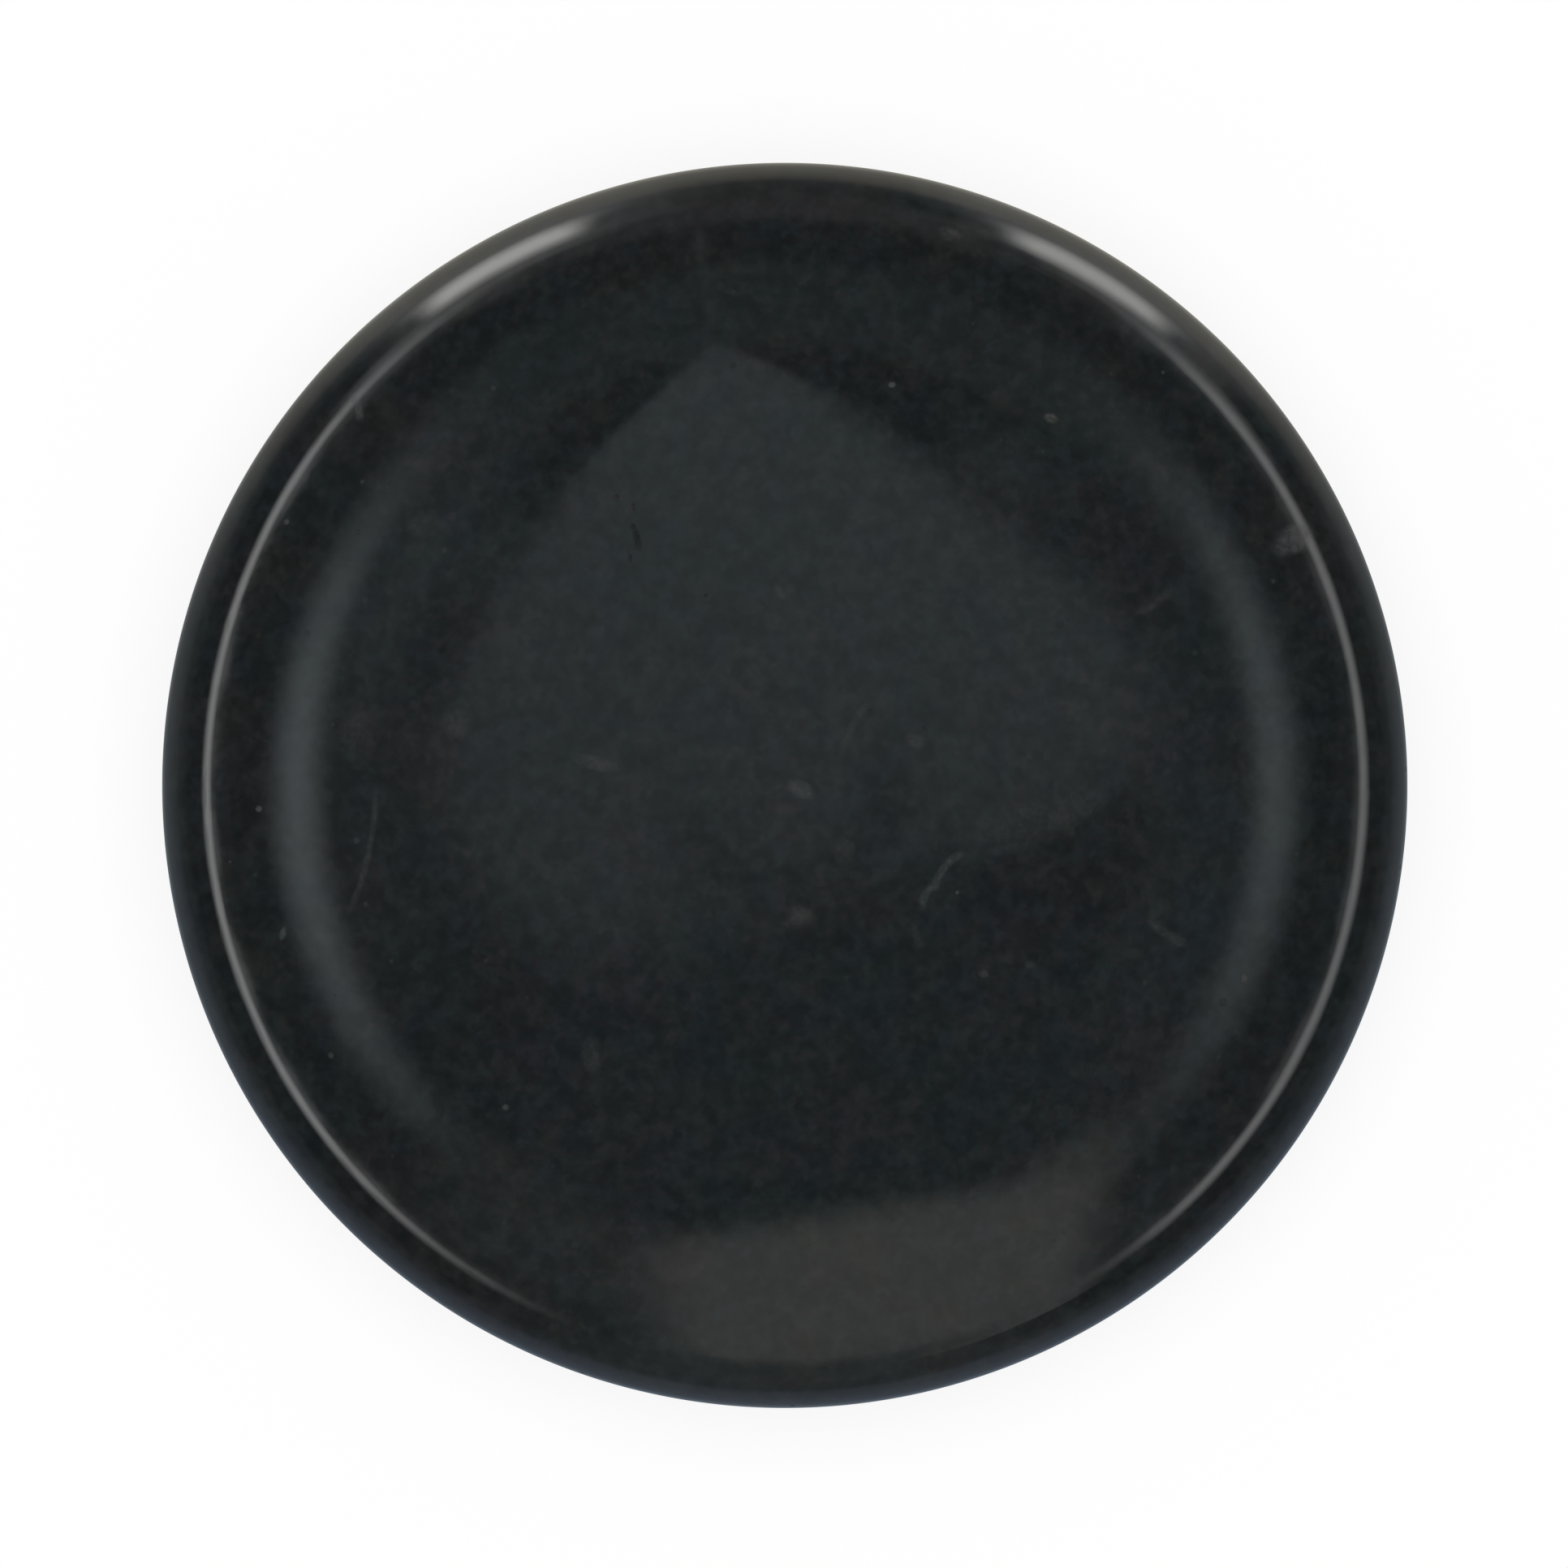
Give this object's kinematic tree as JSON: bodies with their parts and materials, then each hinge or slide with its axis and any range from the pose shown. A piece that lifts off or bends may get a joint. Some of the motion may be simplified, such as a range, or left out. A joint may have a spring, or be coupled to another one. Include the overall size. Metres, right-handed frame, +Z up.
{
  "type": "massage stone",
  "caption": "Round, polished basalt massage stone: a solid disc with two shallow domed sides, an eased arris near the edge and a rounded rim.",
  "frame": {"origin": "centre of the ground flat on the underside, on which the stone rests", "axes": "+Z points up through the crown of the upper dome; the stone is round about Z, so X and Y are alike"},
  "size_m": [0.07, 0.07, 0.0199],
  "materials": {
    "polished_basalt": "polished, fine grained, with a few open pores and light scratches"
  },
  "bodies": {
    "root": {"stone": "polished_basalt"}
  },
  "joints": []
}
